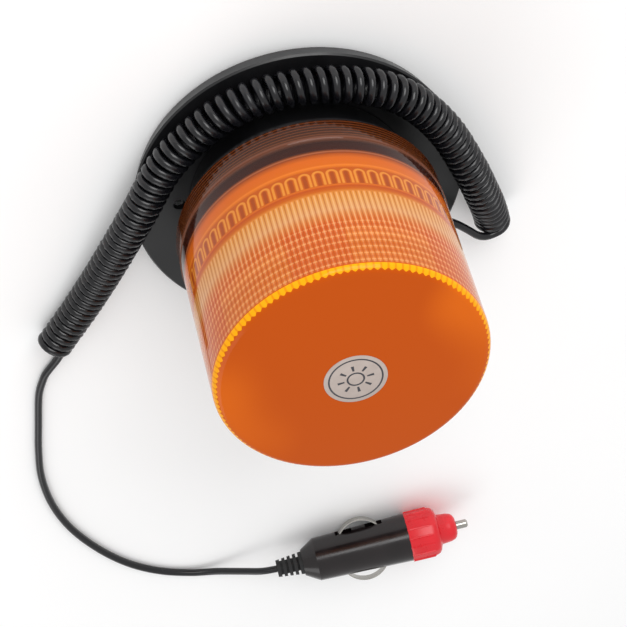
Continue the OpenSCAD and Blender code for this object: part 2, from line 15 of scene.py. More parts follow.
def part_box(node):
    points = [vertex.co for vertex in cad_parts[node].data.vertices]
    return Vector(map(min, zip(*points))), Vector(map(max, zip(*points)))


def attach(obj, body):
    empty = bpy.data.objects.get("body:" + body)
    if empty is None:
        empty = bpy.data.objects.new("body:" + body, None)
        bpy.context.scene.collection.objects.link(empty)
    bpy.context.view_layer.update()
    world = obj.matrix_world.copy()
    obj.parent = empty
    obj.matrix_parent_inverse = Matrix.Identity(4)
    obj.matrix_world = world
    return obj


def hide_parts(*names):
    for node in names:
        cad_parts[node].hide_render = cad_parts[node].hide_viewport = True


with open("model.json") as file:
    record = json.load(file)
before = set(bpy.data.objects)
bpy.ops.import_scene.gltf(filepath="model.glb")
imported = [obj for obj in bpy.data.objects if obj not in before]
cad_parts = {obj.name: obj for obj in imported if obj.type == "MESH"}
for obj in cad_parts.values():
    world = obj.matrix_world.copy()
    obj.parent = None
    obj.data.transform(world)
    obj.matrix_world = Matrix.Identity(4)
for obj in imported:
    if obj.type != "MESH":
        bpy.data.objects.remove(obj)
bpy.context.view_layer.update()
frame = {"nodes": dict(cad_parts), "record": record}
MM = 0.001

# %% [markdown]
# ## Camera
# The beacon is looked at from above its cap with a long lens, and the camera is rolled so that the
# cap hangs towards the lower right of the picture. A rotation is written as the three directions that
# the picture's right, up and backward axes have in the object's frame.

# %% Camera
CAMERA_AT = Vector((0.0, -478.25, 540.69)) * MM
PICTURE_RIGHT = Vector((-0.95889, 0.20671, 0.19443))
PICTURE_UP = Vector((-0.28356, -0.67137, -0.68473))
LENS_MM = 114.8

camera_data = bpy.data.cameras.new("camera")
camera_data.lens = LENS_MM
camera_data.sensor_width = 36.0
camera_data.clip_start = 0.01
camera_data.clip_end = 20.0
camera = bpy.data.objects.new("camera", camera_data)
bpy.context.scene.collection.objects.link(camera)
picture_back = PICTURE_RIGHT.cross(PICTURE_UP)
turn = Matrix((PICTURE_RIGHT, PICTURE_UP, picture_back)).transposed()
camera.matrix_world = Matrix.Translation(CAMERA_AT) @ turn.to_4x4()
bpy.context.scene.camera = camera
bpy.context.scene.view_settings.view_transform = "Standard"
print("camera distance, mm:", round(CAMERA_AT.length / MM))

# %% [markdown]
# ## Small helpers
# A mesh made from lists of points and faces covers most pieces. A turned piece is an outline of
# (distance along the axis, radius) pairs swept round the axis.


# %% Mesh helpers
def add_object(name, points, faces, smooth_angle=35):
    """A mesh object at the origin, with its place in its vertices."""
    mesh = bpy.data.meshes.new(name)
    mesh.from_pydata([tuple(p) for p in points], [], faces)
    mesh.validate()
    build = bmesh.new()
    build.from_mesh(mesh)
    bmesh.ops.remove_doubles(build, verts=build.verts, dist=1e-7)
    bmesh.ops.recalc_face_normals(build, faces=build.faces)
    build.to_mesh(mesh)
    build.free()
    mesh.shade_smooth()
    mesh.set_sharp_from_angle(angle=math.radians(smooth_angle))
    made = bpy.data.objects.new(name, mesh)
    bpy.context.scene.collection.objects.link(made)
    return made


def turned(name, outline, place=Matrix.Identity(4), around=96, radius_at=None, smooth_angle=35):
    """Sweeps a closed outline of (along, radius) pairs in mm round the local Z axis."""
    points = []
    for i in range(around):
        angle = 2 * math.pi * i / around
        for k, (along, radius) in enumerate(outline):
            r = radius if radius_at is None else radius_at(k, along, radius, angle)
            spot = Vector((r * math.cos(angle), r * math.sin(angle), along)) * MM
            points.append(place @ spot)
    n = len(outline)
    faces = []
    for i in range(around):
        j = (i + 1) % around
        for k in range(n):
            m = (k + 1) % n
            if outline[k][1] > 0 or outline[m][1] > 0:
                faces.append((i * n + k, j * n + k, j * n + m, i * n + m))
    return add_object(name, points, faces, smooth_angle)


def curve_points(controls, steps):
    """Catmull-Rom points through the controls."""
    points = [Vector(p) for p in controls]
    line = [points[0]] + points + [points[-1]]
    made = []
    for i in range(1, len(line) - 2):
        a, b, c, d = line[i - 1 : i + 3]
        for k in range(steps):
            t = k / steps
            made.append(
                (2 * b + (c - a) * t + (2 * a - 5 * b + 4 * c - d) * t**2 + (3 * b - a - 3 * c + d) * t**3) / 2
            )
    return made + [points[-1]]


def path_length(points):
    """Length of a line through the points."""
    return sum((b - a).length for a, b in zip(points, points[1:]))


# %% [markdown]
# ## Materials
# Every finish is one function that starts from what the real material is. Colours are written the way
# a paint chart gives them, as sRGB hex, and one function turns them into the linear values that the
# shaders work in. Another adds a node with its settings and links, and every tree is made with it. Two
# patterns serve most finishes: soft patches of two close tones that also change the polish a little, and
# a fine moulded grain.


# %% Material helpers
# a noise seldom leaves this span
LOW_NOISE, HIGH_NOISE = 0.3, 0.7


def linear(hex_colour):
    """Linear RGBA from an sRGB hex colour."""
    channels = [int(hex_colour[i : i + 2], 16) / 255 for i in (1, 3, 5)]
    return tuple(c / 12.92 if c <= 0.04045 else ((c + 0.055) / 1.055) ** 2.4 for c in channels) + (1.0,)


def add_node(tree, kind, settings=None, inputs=None):
    """Adds one node; an input is a plain value or another node's output socket."""
    node = tree.nodes.new(kind)
    for key, value in (settings or {}).items():
        setattr(node, key, value)
    for key, value in (inputs or {}).items():
        if isinstance(value, bpy.types.NodeSocket):
            tree.links.new(value, node.inputs[key])
        else:
            node.inputs[key].default_value = value
    return node


def new_material(name):
    """A material with an empty tree."""
    made = bpy.data.materials.new(name)
    made.use_nodes = True
    made.node_tree.nodes.clear()
    return made, made.node_tree


def mottled(tree, colour_a, colour_b, size_mm, rough):
    """A soft mix of two close colours in patches of about size_mm, and a roughness that wanders with it."""
    place = add_node(tree, "ShaderNodeTexCoord")
    noise = add_node(
        tree,
        "ShaderNodeTexNoise",
        inputs={"Vector": place.outputs["Object"], "Scale": 1 / (size_mm * MM), "Detail": 4.0},
    )
    ramp = add_node(tree, "ShaderNodeValToRGB", inputs={"Fac": noise.outputs["Fac"]})
    for element, position, colour in zip(ramp.color_ramp.elements, (LOW_NOISE, HIGH_NOISE), (colour_a, colour_b)):
        element.position = position
        element.color = linear(colour)
    polish = add_node(
        tree,
        "ShaderNodeMapRange",
        inputs={
            "Value": noise.outputs["Fac"],
            "From Min": LOW_NOISE,
            "From Max": HIGH_NOISE,
            "To Min": rough[0],
            "To Max": rough[1],
        },
    )
    return ramp.outputs["Color"], polish.outputs["Result"], place


def grain_bump(tree, place, size_mm, depth_mm, strength=0.5):
    """Fine moulded grain as a bump."""
    noise = add_node(
        tree,
        "ShaderNodeTexNoise",
        inputs={"Vector": place.outputs["Object"], "Scale": 1 / (size_mm * MM), "Detail": 3.0},
    )
    bump = add_node(
        tree,
        "ShaderNodeBump",
        inputs={"Height": noise.outputs["Fac"], "Distance": depth_mm * MM, "Strength": strength},
    )
    return bump.outputs["Normal"]


# %% [markdown]
# ## Plain finishes
# A moulded piece is never one flat tone: the melt cools unevenly, so tone and gloss wander by a few
# percent, and the mould leaves a grain of about half a millimetre. A plated piece mirrors instead of
# taking a colour from below its surface, and only its polish wanders. So there are two recipes, one for
# plastics and rubbers and one for metals, and each finish states only its tones, its gloss and its grain.


# %% Two recipes
PLASTIC_IOR = 1.5


def plastic(name, colour_a, colour_b, rough, patch_mm=12.0, grain_mm=0.5, grain_depth=0.02):
    """Moulded plastic or rubber: two close colours, wandering roughness and a fine grain."""
    made, tree = new_material(name)
    colour, polish, place = mottled(tree, colour_a, colour_b, patch_mm, rough)
    shader = add_node(
        tree,
        "ShaderNodeBsdfPrincipled",
        inputs={
            "Base Color": colour,
            "Roughness": polish,
            "IOR": PLASTIC_IOR,
            "Normal": grain_bump(tree, place, grain_mm, grain_depth),
        },
    )
    add_node(tree, "ShaderNodeOutputMaterial", inputs={"Surface": shader.outputs[0]})
    return made


def metal(name, colour_a, colour_b, rough, patch_mm=6.0, grain_mm=0.3, grain_depth=0.004):
    """Plated or bare metal with a light wander in tone and polish."""
    made, tree = new_material(name)
    colour, polish, place = mottled(tree, colour_a, colour_b, patch_mm, rough)
    shader = add_node(
        tree,
        "ShaderNodeBsdfPrincipled",
        inputs={
            "Base Color": colour,
            "Metallic": 1.0,
            "Roughness": polish,
            "Normal": grain_bump(tree, place, grain_mm, grain_depth, 0.3),
        },
    )
    add_node(tree, "ShaderNodeOutputMaterial", inputs={"Surface": shader.outputs[0]})
    return made


# %% Finishes of the outside
# moulded ABS, satin: broad soft highlights on the flange and housing
black_abs = plastic("black_abs", "#0e0e10", "#141416", (0.32, 0.45), grain_mm=0.6, grain_depth=0.015)
# moulded rubber: nearly matt, a shade greyer than the plastic beside it
black_rubber = plastic("black_rubber", "#101011", "#18181a", (0.55, 0.7), grain_mm=0.8)
# extruded soft PVC: a glossy line along every turn of the curly cord
cord_pvc = plastic("cord_pvc", "#0c0c0f", "#131317", (0.2, 0.3), patch_mm=20, grain_mm=1.2, grain_depth=0.01)
# moulded phenolic: a brown-black with a sharp highlight along the barrel
plug_black = plastic("plug_black", "#110c0d", "#1a1213", (0.16, 0.26), grain_mm=1.5, grain_depth=0.01)
# moulded ABS, dyed red: bright, with soft highlights on its ridges
red_abs = plastic("red_abs", "#d3121f", "#e01b28", (0.24, 0.34), patch_mm=6, grain_mm=0.7)
# nickel plated brass: a warm grey mirror, blurred by handling
nickel = metal("nickel", "#aaa7a1", "#bebbb5", (0.16, 0.28))

# %% Finishes of the inside
# moulded ABS in white, which sends the lamps' light outwards
white_abs = plastic("white_abs", "#e9e7df", "#f2f0ea", (0.35, 0.5))
# glass fibre boards under a glossy solder mask, white for the lamps and green for the driver
white_board = plastic("white_board", "#dfe2dc", "#eef0ea", (0.25, 0.35))
green_board = plastic("green_board", "#145a2c", "#1c6e38", (0.25, 0.35))
# shrink sleeve, thin and glossy
capacitor_sleeve = plastic("capacitor_sleeve", "#1d2c66", "#243678", (0.2, 0.3))
# moulded polyamide, satin
terminal_plastic = plastic("terminal_plastic", "#2f7d3c", "#37894a", (0.35, 0.5))
# moulded epoxy: charcoal, matt and fine-grained
chip_epoxy = plastic("chip_epoxy", "#1b1b1e", "#242427", (0.45, 0.6), grain_mm=0.15)
# extruded PVC insulation
wire_red = plastic("wire_red", "#a52a20", "#b53428", (0.3, 0.4))
# phosphor gel in the diodes: a wet-looking yellow
diode_gel = plastic("diode_gel", "#f2c230", "#ffd552", (0.1, 0.2))
# zinc plated steel: a cool, slightly blurred mirror
plated_steel = metal("plated_steel", "#b3b5b8", "#c9cbce", (0.22, 0.36))
# sintered ferrite: dark grey and chalky
ferrite = plastic("ferrite", "#333336", "#3f3f43", (0.5, 0.65), grain_mm=0.3)
# enamelled copper wire: a brown-orange mirror
copper_coil = metal("copper_coil", "#a4521f", "#c26a30", (0.25, 0.35))
print("materials so far:", len(bpy.data.materials))

# %% [markdown]
# ## Tables of sums
# A drawn pattern is a chain of small sums, so it is written as a table: each row names its result, says
# what is done, and to which earlier results or numbers. One function works down such a table. STEP is a
# soft rise between two values, LAY puts a tone over another by a share, and every other word is a plain
# sum of the Math node.

# %% Tables of sums
KINDS = {
    "STEP": ("ShaderNodeMapRange", {"interpolation_type": "SMOOTHSTEP"}, (0, 1, 2), 0),
    "LAY": ("ShaderNodeMix", {"data_type": "RGBA"}, (0, 6, 7), 2),
}


def add_steps(tree, known, rows):
    """Adds a table's nodes in order; known holds each named result."""
    for name, action, *terms in rows:
        plain_sum = ("ShaderNodeMath", {"operation": action}, (0, 1, 2), 0)
        kind, settings, sockets, out = KINDS.get(action, plain_sum)
        inputs = {}
        for socket, term in zip(sockets, terms):
            if isinstance(term, str):
                term = linear(term) if term.startswith("#") else known[term]
            inputs[socket] = term
        known[name] = add_node(tree, kind, settings, inputs).outputs[out]


# %% [markdown]
# ## Amber polycarbonate: bands
# The lens is clear polycarbonate dyed amber. Only about a fifth of the light passes straight through it
# here, so most of what lies behind the wall is drawn: the dark brown of the collar under the skirt, and
# the bright, half-clear amber where the flutes scatter the light. The share that passes is set by
# height, as are the tones of the bands. Two bands are painted light: a thin pale line at the step of the
# skirt is a painted highlight, and a pale band at the foot of the flutes is a painted reflection of a
# bright light. The flat cap is thick and looks solid. Shading for the flutes and arches, the dashes and
# the teeth at the rim are worked from the angle round the axis and the height, in the lens's own
# coordinates, so they follow the moulded flutes when the lens turns. The specular level is set below
# that of real polycarbonate, because a white sky mirrored in the wall would wash the dye out.

# %% Heights and counts of the lens
LENS_FOOT, LENS_TOP = (corner[2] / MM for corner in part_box("outer_lens"))
FOOT_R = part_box("outer_lens")[1][0] / MM
TOP_R = FOOT_R - 1.2
RIM_ROUND = 3.0
FLUTES, ARCHES, TEETH = 160, 64, 120
ARCH_LOW, ARCH_HIGH, ARCH_ROUND = 52.6, 60.2, 2.2
FLUTED_FROM = 64.0
BAND_TONES_AND_PAINTED_GLARE = [
    (27.5, "#3a1404"),
    (33.0, "#3c1804"),
    (35.8, "#4e2610"),
    # painted highlight: the pale stop at 36.6 mm is the glare along the step of the skirt
    (36.6, "#7e4a34"),
    (38.0, "#552e1c"),
    (39.0, "#321004"),
    (42.8, "#3a1002"),
    (43.5, "#7a3a18"),
    (44.0, "#b8663a"),
    (44.5, "#8e3e12"),
    (45.4, "#b65210"),
    (47.0, "#d66410"),
    (50.3, "#da680c"),
    (50.8, "#ea8020"),
    (51.6, "#dc7010"),
    (52.4, "#c4570a"),
    (60.0, "#c85c0a"),
    (60.5, "#dd6e12"),
    (61.2, "#c04c04"),
    (62.8, "#cd640a"),
    # painted reflection: the pale stops from here to 74.5 mm are the glare of a light mirrored on the wall
    (64.2, "#e08e34"),
    (68.0, "#e09a50"),
    (72.0, "#e0a066"),
    (74.5, "#da8440"),
    (77.0, "#d86a20"),
    (80.0, "#dc6618"),
    (84.0, "#e67e30"),
    (88.0, "#d86c1a"),
    (92.0, "#dc701c"),
    (97.0, "#df7628"),
]
CLEARNESS = [(27.5, 0.2), (44.4, 0.2), (45.4, 0.15), (53.0, 0.18), (64.0, 0.2), (97.0, 0.22)]
print("lens, mm:", round(LENS_TOP - LENS_FOOT, 1), "high,", round(2 * FOOT_R, 1), "across the foot")

# %% [markdown]
# ## Amber polycarbonate: where a spot lies
# A pattern that follows the lens needs a spot's angle round the axis, its height as a share of the
# lens's own, and how far it lies past the foot of the rounded rim, up and inwards. These come first,
# because every drawing below is made from them.

# %% Where a spot lies
WHERE = [
    ("angle", "ARCTAN2", "y", "x"),
    ("x squared", "MULTIPLY", "x", "x"),
    ("y squared", "MULTIPLY", "y", "y"),
    ("radius squared", "ADD", "x squared", "y squared"),
    ("radius", "SQRT", "radius squared"),
    ("above foot", "SUBTRACT", "z", LENS_FOOT),
    ("share", "DIVIDE", "above foot", LENS_TOP - LENS_FOOT),
    ("up the rim", "SUBTRACT", "z", LENS_TOP - RIM_ROUND),
    ("out of rim", "SUBTRACT", "radius", TOP_R),
    ("rim", "SUBTRACT", "up the rim", "out of rim"),
    ("on cap", "STEP", "rim", 0.3, 0.6),
    ("off cap", "SUBTRACT", 1.0, "on cap"),
]

# %% [markdown]
# ## Amber polycarbonate: flutes, boards and dashes
# Each flute is a small lens. A painted highlight runs along its crest, stronger below the lamp boards, and
# painted shade lies in its valley. The six lamp boards show through the upper flutes as darker windows.
# Towards the rim the flutes are crossed by rows of short dashes, bright ones and dark ones by turns, where
# the mould has a fine net of prisms.

# %% Flutes, boards and dashes
BOARDS = 6
BOARD_LOW = 77.0
ROW_STEP = 3.0
FLUTE_STEPS = [
    ("flute turns", "MULTIPLY", "angle", FLUTES),
    ("wave", "COSINE", "flute turns"),
    ("fluted", "STEP", "z", FLUTED_FROM - 0.4, FLUTED_FROM + 0.4),
    # painted highlight along each flute's crest, twice as strong below the boards as near the cap
    ("crest", "STEP", "wave", 0.35, 0.95),
    ("crest", "MULTIPLY", "crest", "fluted"),
    ("above boards", "STEP", "z", 90.0, 76.0),
    ("crest share", "ADD", "above boards", 1.0),
    ("crest", "MULTIPLY", "crest", "crest share"),
    ("crest", "MULTIPLY", "crest", 0.27),
    # painted shade in each flute's valley
    ("valley", "STEP", "wave", -0.55, -0.95),
    ("valley", "MULTIPLY", "valley", "fluted"),
    ("valley", "MULTIPLY", "valley", 0.5),
    ("board turns", "MULTIPLY", "angle", BOARDS),
    ("facing", "COSINE", "board turns"),
    ("board", "STEP", "facing", -0.22, -0.34),
    ("board foot", "STEP", "z", BOARD_LOW, BOARD_LOW + 0.8),
    ("board", "MULTIPLY", "board", "board foot"),
    ("board", "MULTIPLY", "board", 0.65),
    ("tone", "LAY", "board", "bands", "#d45208"),
    # f4be84 is the painted crest highlight and #a8440a the painted valley shade
    ("tone", "LAY", "crest", "tone", "#f4be84"),
    ("tone", "LAY", "valley", "tone", "#a8440a"),
    ("rows", "DIVIDE", "z", ROW_STEP),
    ("rows", "FRACT", "rows"),
    ("dash", "STEP", "rows", 0.30, 0.16),
    ("dash foot", "STEP", "z", BOARD_LOW, BOARD_LOW + 2.0),
    ("dash", "MULTIPLY", "dash", "dash foot"),
    ("dash gap", "STEP", "wave", -0.98, -0.6),
    ("dash", "MULTIPLY", "dash", "dash gap"),
    ("dash", "MULTIPLY", "dash", 0.42),
    ("tone", "LAY", "dash", "tone", "#f8bc74"),
    ("dark rows", "ADD", "rows", 0.5),
    ("dark rows", "FRACT", "dark rows"),
    ("dark dash", "STEP", "dark rows", 0.45, 0.20),
    ("dark dash", "MULTIPLY", "dark dash", "dash foot"),
    ("dark dash", "MULTIPLY", "dark dash", 0.4),
    ("tone", "LAY", "dark dash", "tone", "#c25210"),
]

# %% [markdown]
# ## Amber polycarbonate: thread and arches
# The thread shows through the skirt as thin pale lines. Above the collar stands a row of ribs with round
# feet. Their outline is a distance: across the rib only, above its foot, and from the foot's own centre
# below it, so one limit on that distance gives the whole arch.

# %% Thread lines
THREAD_STEP = 1.35
THREAD_TOP = 36.0
SKIRT_STEPS = [
    ("ribs", "DIVIDE", "z", THREAD_STEP),
    ("ribs", "FRACT", "ribs"),
    ("ribs", "STEP", "ribs", 0.42, 0.2),
    ("rib top", "STEP", "z", THREAD_TOP, THREAD_TOP - 0.4),
    ("ribs", "MULTIPLY", "ribs", "rib top"),
    ("ribs", "MULTIPLY", "ribs", 0.5),
    ("tone", "LAY", "ribs", "tone", "#8c4c26"),
]

# %% Arched ribs
ARCH_STEPS = [
    ("across", "MULTIPLY", "angle", ARCHES / (2 * math.pi)),
    ("across", "FRACT", "across"),
    ("across", "SUBTRACT", "across", 0.5),
    ("across", "MULTIPLY", "across", 2.0),
    ("across", "POWER", "across", 2.0),
    ("rise", "SUBTRACT", ARCH_LOW + ARCH_ROUND, "z"),
    ("rise", "MAXIMUM", "rise", 0.0),
    ("rise", "DIVIDE", "rise", ARCH_ROUND),
    ("rise", "POWER", "rise", 2.0),
    ("reach", "ADD", "across", "rise"),
    ("reach", "SQRT", "reach"),
    ("arch foot", "STEP", "z", ARCH_LOW - 0.1, ARCH_LOW + 0.2),
    ("arch top", "STEP", "z", ARCH_HIGH, ARCH_HIGH - 0.4),
    ("in band", "MULTIPLY", "arch foot", "arch top"),
    ("outline", "STEP", "reach", 0.42, 0.58),
    ("outer edge", "STEP", "reach", 0.96, 0.8),
    ("outline", "MULTIPLY", "outline", "outer edge"),
    ("outline", "MULTIPLY", "outline", "in band"),
    ("outline", "MULTIPLY", "outline", 0.75),
    ("core", "STEP", "reach", 0.4, 0.2),
    ("core", "MULTIPLY", "core", "in band"),
    ("core", "MULTIPLY", "core", 0.65),
    ("tone", "LAY", "outline", "tone", "#ee9a34"),
    ("tone", "LAY", "core", "tone", "#983c08"),
]

# %% [markdown]
# ## Amber polycarbonate: cap and rim
# The cap is a smooth orange with broad, faint patches. The ends of the prisms show through the rounded
# rim as a ring of golden teeth with darker gaps, and their inner edge is scalloped.

# %% Cap and rim
TOOTH_REACH, TOOTH_SCALLOP = 3.7, 0.45
PATCH_MM = 70
CAP_STEPS = [
    ("patches", "STEP", "noise", 0.4, 0.6),
    ("cap", "LAY", "patches", "#c04f04", "#d8640a"),
    ("tooth turns", "MULTIPLY", "angle", TEETH),
    ("tooth wave", "COSINE", "tooth turns"),
    ("scallop", "MULTIPLY", "tooth wave", TOOTH_SCALLOP),
    ("scallop", "ADD", "scallop", TOOTH_REACH),
    ("past tooth", "SUBTRACT", "rim", "scallop"),
    ("tooth", "STEP", "past tooth", 0.2, -0.1),
    ("tooth foot", "STEP", "rim", 0.7, 1.0),
    ("tooth", "MULTIPLY", "tooth", "tooth foot"),
    ("cap", "LAY", "tooth", "cap", "#f8a80c"),
    ("gap", "STEP", "tooth wave", -0.3, -0.9),
    ("gap", "MULTIPLY", "gap", "tooth"),
    ("gap", "MULTIPLY", "gap", 0.5),
    ("cap", "LAY", "gap", "cap", "#d06808"),
    ("tone", "LAY", "on cap", "tone", "cap"),
    ("clear", "MULTIPLY", "clear", "off cap"),
]


# %% [markdown]
# ## Amber polycarbonate: the material
# The tables are worked down in order, with the two ramps over height between them, and end in one
# shader. The moulded wall is polished, with a very slight unevenness that bends its reflections.


# %% Amber polycarbonate
POLYCARBONATE_IOR = 1.58
WAVINESS_MM, WAVINESS_DEPTH = 9.0, 0.01


def amber_lens():
    made, tree = new_material("amber_polycarbonate")
    place = add_node(tree, "ShaderNodeTexCoord")
    in_mm = add_node(
        tree, "ShaderNodeVectorMath", {"operation": "SCALE"}, {0: place.outputs["Object"], "Scale": 1 / MM}
    )
    x, y, z = add_node(tree, "ShaderNodeSeparateXYZ", inputs={"Vector": in_mm.outputs[0]}).outputs
    noise = add_node(
        tree, "ShaderNodeTexNoise", inputs={"Vector": in_mm.outputs[0], "Scale": 1 / PATCH_MM, "Detail": 1.0}
    )
    known = {"x": x, "y": y, "z": z, "noise": noise.outputs["Fac"]}
    add_steps(tree, known, WHERE)
    for name, stops in (("bands", BAND_TONES_AND_PAINTED_GLARE), ("clear", CLEARNESS)):
        ramp = add_node(tree, "ShaderNodeValToRGB", inputs={"Fac": known["share"]})
        elements = ramp.color_ramp.elements
        for k, (height, tone) in enumerate(stops):
            element = elements[k] if k < 2 else elements.new(1.0)
            element.position = max((height - LENS_FOOT) / (LENS_TOP - LENS_FOOT), 0.0)
            element.color = linear(tone) if isinstance(tone, str) else (tone, tone, tone, 1.0)
        known[name] = ramp.outputs["Color"]
    add_steps(tree, known, FLUTE_STEPS + SKIRT_STEPS + ARCH_STEPS + CAP_STEPS)
    shader = add_node(
        tree,
        "ShaderNodeBsdfPrincipled",
        inputs={
            "Base Color": known["tone"],
            "Roughness": 0.06,
            "IOR": POLYCARBONATE_IOR,
            "Specular IOR Level": 0.1,
            "Transmission Weight": known["clear"],
            "Normal": grain_bump(tree, place, WAVINESS_MM, WAVINESS_DEPTH, 0.3),
        },
    )
    add_node(tree, "ShaderNodeOutputMaterial", inputs={"Surface": shader.outputs[0]})
    print("amber polycarbonate:", len(tree.nodes), "nodes")
    return made


amber = amber_lens()

# %% [markdown]
# ## Fuse glass
# Drawn soda glass is clear and very smooth, so it passes all its light and only its edge shows.


# %% Fuse glass
def clear_glass():
    made, tree = new_material("fuse_glass")
    colour, polish, _ = mottled(tree, "#f2f8f8", "#ffffff", 5, (0.02, 0.05))
    shader = add_node(
        tree,
        "ShaderNodeBsdfPrincipled",
        inputs={"Base Color": colour, "Roughness": polish, "IOR": 1.5, "Transmission Weight": 1.0},
    )
    add_node(tree, "ShaderNodeOutputMaterial", inputs={"Surface": shader.outputs[0]})
    return made


glass_tube = clear_glass()

# %% [markdown]
# ## Dressing the CAD pieces
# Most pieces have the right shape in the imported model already, so they only change their finish. Their
# meshes stay as they are, and each material reads its patterns from the piece's own coordinates.


# %% Finishes on the CAD pieces that stay
def dress(names, material):
    """Gives CAD nodes a finish."""
    for name in names:
        for slot in frame["nodes"][name].material_slots:
            slot.material = material


dress(["base_flange", "base_housing"], black_abs)
dress(["rubber_pad", "base_gasket", "cable_grommet", "lens_seal", "plug_relief"], black_rubber)
dress(["inner_cable"], cord_pvc)
dress(["magnet_cup", "magnet_bolt", "magnet_washer", "magnet_nut", "base_screws", "board_screws"], plated_steel)
dress(["tower_screws", "top_board_screws", "pin_retainer", "fuse_spring"], plated_steel)
dress(["ring_magnet"], ferrite)
dress(["wire_terminal"], terminal_plastic)
dress(["driver_board"], green_board)
dress(["capacitors"], capacitor_sleeve)
dress(["inductor"], copper_coil)
dress(["controller_chip", "power_transistors"], chip_epoxy)
dress(["lamp_wires"], wire_red)
dress(["lamp_deck", "lamp_tower"], white_abs)
dress(["side_boards", "top_board"], white_board)
dress(["side_leds", "top_leds"], diode_gel)
dress(["center_pin", "fuse_caps", "side_contact_left", "side_contact_right"], nickel)
dress(["fuse_glass"], glass_tube)
dress(["plug_barrel"], plug_black)
dress(["nose_cap"], red_abs)
print("CAD nodes:", len(frame["nodes"]))

# %% [markdown]
# ## Outer lens
# The wall's outside is smooth and nearly straight, and rolls over into the cap in a rounded rim. Inside,
# a row of short ribs stands above the collar, then a plain ring, then fine flutes up to the cap; the ribs'
# arched feet are drawn only by the material. One outline is swept round the axis, and a function moves its
# inner points in and out with the angle.

# %% Outer lens
FLUTE_DEPTH = 0.45
LENS_BORE_R = 45.1
FLUTE_R = 44.6
SKIRT_TOP = 37.0
INNER_TOP = LENS_TOP - 2.5
RIM_STEPS = 6
SEAL_GAP = 0.03
GLAND_TOP = 46.3
AROUND = 960


def lens_outline():
    """The lens's section as (height, radius, ribs round it), up the outside and down the inside."""
    foot = LENS_FOOT + SEAL_GAP
    outside = [(foot, FOOT_R - 0.4), (foot + 0.4, FOOT_R), (SKIRT_TOP, FOOT_R)]
    outside += [(SKIRT_TOP + 0.35, FOOT_R - 0.3)]
    for k in range(RIM_STEPS + 1):
        lean = math.pi / 2 * k / RIM_STEPS
        height = LENS_TOP - RIM_ROUND * (1 - math.sin(lean))
        outside.append((height, TOP_R - RIM_ROUND * (1 - math.cos(lean))))
    outside.append((LENS_TOP, 0))
    inside = [(INNER_TOP, 0, 0), (INNER_TOP, FLUTE_R - 2.5, 0), (INNER_TOP - 0.2, FLUTE_R, FLUTES)]
    inside += [(FLUTED_FROM, FLUTE_R, FLUTES), (FLUTED_FROM - 0.2, FLUTE_R + 0.2, 0)]
    inside += [(ARCH_HIGH + 0.2, FLUTE_R + 0.2, 0), (ARCH_HIGH, FLUTE_R, ARCHES), (ARCH_LOW, FLUTE_R, ARCHES)]
    inside += [(ARCH_LOW - 0.2, FLUTE_R + 0.2, 0), (GLAND_TOP, FLUTE_R + 0.2, 0)]
    inside += [(GLAND_TOP - 0.2, LENS_BORE_R, 0), (foot, LENS_BORE_R, 0)]
    return [(z, r, 0) for z, r in outside] + inside


LENS_SECTION = lens_outline()


def fluted_radius(k, along, radius, angle):
    """Pulls the inner wall in by one rib's rounded tooth."""
    ribs = LENS_SECTION[k][2]
    if not ribs:
        return radius
    return radius - FLUTE_DEPTH * (1 - abs(math.sin(angle * ribs / 2))) ** 0.8


lens = turned(
    "lens_shell",
    [(z, r) for z, r, _ in LENS_SECTION],
    around=AROUND,
    radius_at=fluted_radius,
    smooth_angle=28,
)
lens.data.materials.append(amber)
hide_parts("outer_lens")
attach(lens, "lens")
print("lens:", len(lens.data.polygons), "faces")

# %% [markdown]
# ## Label
# A round silver-grey paper label with a thin dark ring and a plain mark. The print is drawn by the
# material from the label's own coordinates.


# %% Label
def label_paper(centre, radius):
    made, tree = new_material("label_paper")
    colour, polish, place = mottled(tree, "#b0a29a", "#baaca4", 4, (0.4, 0.5))
    shifted = add_node(
        tree, "ShaderNodeVectorMath", {"operation": "SUBTRACT"}, {0: place.outputs["Object"], 1: centre}
    )
    in_radii = add_node(
        tree, "ShaderNodeVectorMath", {"operation": "SCALE"}, {0: shifted.outputs[0], "Scale": 1 / radius}
    )
    x, y, _ = add_node(tree, "ShaderNodeSeparateXYZ", inputs={"Vector": in_radii.outputs[0]}).outputs
    known = {"x": x, "y": y, "paper": colour}
    add_steps(
        tree,
        known,
        [
            ("x squared", "MULTIPLY", "x", "x"),
            ("y squared", "MULTIPLY", "y", "y"),
            ("reach squared", "ADD", "x squared", "y squared"),
            ("reach", "SQRT", "reach squared"),
            ("ring", "COMPARE", "reach", 0.84, 0.028),
            ("small ring", "COMPARE", "reach", 0.26, 0.03),
            ("angle", "ARCTAN2", "y", "x"),
            ("turns", "MULTIPLY", "angle", 8.0),
            ("wave", "COSINE", "turns"),
            ("rays", "STEP", "wave", 0.72, 0.84),
            ("ray length", "COMPARE", "reach", 0.47, 0.11),
            ("rays", "MULTIPLY", "rays", "ray length"),
            ("ink", "MAXIMUM", "ring", "small ring"),
            ("ink", "MAXIMUM", "ink", "rays"),
            ("print", "LAY", "ink", "paper", "#34343a"),
        ],
    )
    shader = add_node(
        tree, "ShaderNodeBsdfPrincipled", inputs={"Base Color": known["print"], "Roughness": polish}
    )
    add_node(tree, "ShaderNodeOutputMaterial", inputs={"Surface": shader.outputs[0]})
    return made


